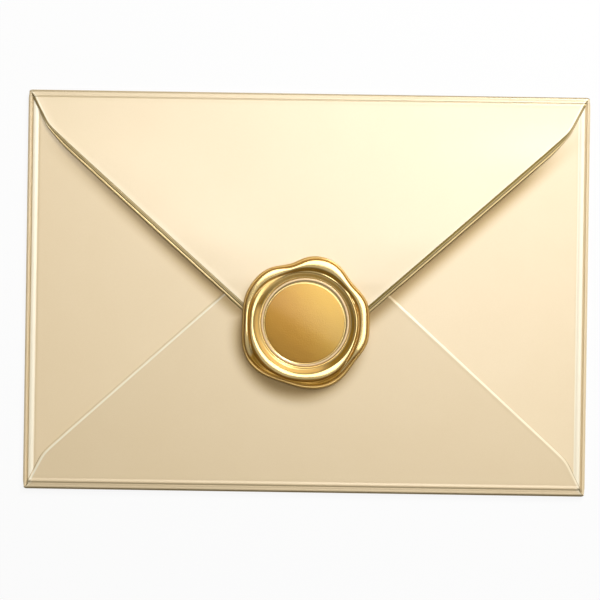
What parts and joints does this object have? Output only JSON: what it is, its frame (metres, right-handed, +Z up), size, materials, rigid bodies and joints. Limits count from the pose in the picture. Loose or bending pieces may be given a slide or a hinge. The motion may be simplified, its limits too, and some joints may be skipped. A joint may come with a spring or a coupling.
{
  "type": "paper envelope",
  "caption": "Closed rectangular paper envelope with pointed flaps, held shut by a round stamped wax seal.",
  "frame": {"origin": "under the middle of the envelope, on the surface that its address side lies on", "axes": "+X along the long side, +Y towards the fold of the top flap, +Z up out of the flap side"},
  "size_m": [0.176, 0.125, 0.0073],
  "materials": {
    "pearl_paper": "satin",
    "gold_wax": "gloss"
  },
  "bodies": {
    "root": {"envelope_sheet": "pearl_paper", "wax_seal": "gold_wax"}
  },
  "joints": []
}
